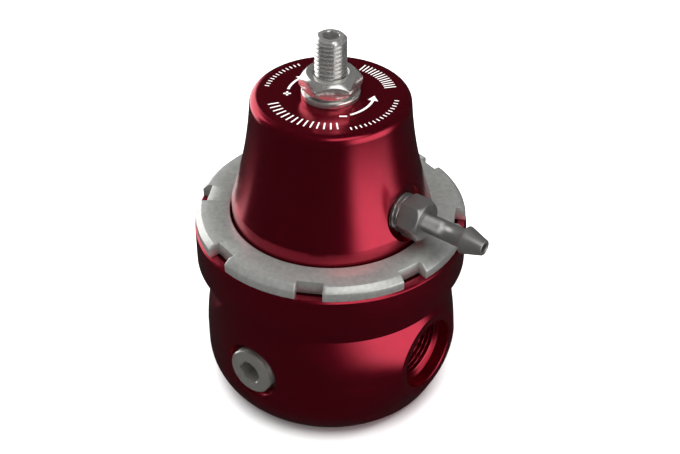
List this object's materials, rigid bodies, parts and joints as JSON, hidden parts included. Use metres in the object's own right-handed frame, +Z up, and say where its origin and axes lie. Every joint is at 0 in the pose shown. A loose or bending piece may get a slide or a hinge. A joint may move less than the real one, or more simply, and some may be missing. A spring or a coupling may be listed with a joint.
{
  "type": "fuel pressure regulator",
  "caption": "Round red anodised fuel pressure regulator with side and bottom ports, notched lock ring, bell-shaped cap, side hose barb and adjusting screw.",
  "frame": {"origin": "centre of the base's flat underside, midway between the bracket holes, where the return port opens", "axes": "+Z up along the regulator's axis towards the adjusting screw, +X along the right fuel port, with the hose barb above it; the gauge port faces -Y"},
  "size_m": [0.0668, 0.0578, 0.0843],
  "materials": {
    "red_anodised": "satin",
    "bare_aluminium": "satin",
    "barb_steel": "satin",
    "plug_steel": "satin",
    "screw_steel": "satin",
    "nut_steel": "satin",
    "inner_steel": "satin",
    "spring_steel": "satin",
    "inner_aluminium": "satin",
    "seat_brass": "satin",
    "seal_rubber": "matt",
    "diaphragm_rubber": "matt"
  },
  "bodies": {
    "root": {"base": "red_anodised", "lock_ring": "bare_aluminium", "cap": "red_anodised", "vacuum_barb": "barb_steel", "gauge_port_plug": "plug_steel", "sealing_washer": "nut_steel", "washer_seal": "seal_rubber", "diaphragm": "diaphragm_rubber", "valve_seat": "seat_brass", "seat_o_ring": "seal_rubber", "main_spring": "spring_steel"},
    "valve": {"valve_carrier": "inner_aluminium", "ball_retainer": "inner_steel", "valve_ball": "inner_steel", "ball_spring": "inner_steel", "upper_plate": "inner_aluminium", "stem_lock_washer": "inner_steel", "stem_nut": "inner_steel"},
    "spring_seat": {"spring_seat": "inner_steel", "thrust_ball": "inner_steel"},
    "adjusting_screw": {"adjusting_screw": "screw_steel"},
    "lock_nut": {"lock_nut": "nut_steel"}
  },
  "joints": [
    {"name": "spring_seat_slide", "type": "slide", "parent": "root", "child": "spring_seat", "axis": [0, 0, 1], "range_m": [-0.00363, 0.00091], "deforming": ["main_spring"]},
    {"name": "adjusting_screw_turn", "type": "hinge", "parent": "spring_seat", "child": "adjusting_screw", "pos_m": [0, 0, 0.07], "axis": [0, 0, 1], "range_deg": [-1440, 360]},
    {"name": "lock_nut_turn", "type": "hinge", "parent": "root", "child": "lock_nut", "pos_m": [0, 0, 0.074], "axis": [0, 0, 1], "range_deg": [0, 90]},
    {"name": "valve_lift", "type": "slide", "parent": "root", "child": "valve", "axis": [0, 0, 1], "range_m": [0, 0.0012], "stiffness_N_per_m": 20000, "deforming": ["main_spring", "diaphragm"]}
  ],
  "couplings": [
    {"joint": "adjusting_screw_turn", "follows": "spring_seat_slide", "rad_per_m": 6926.3}
  ]
}
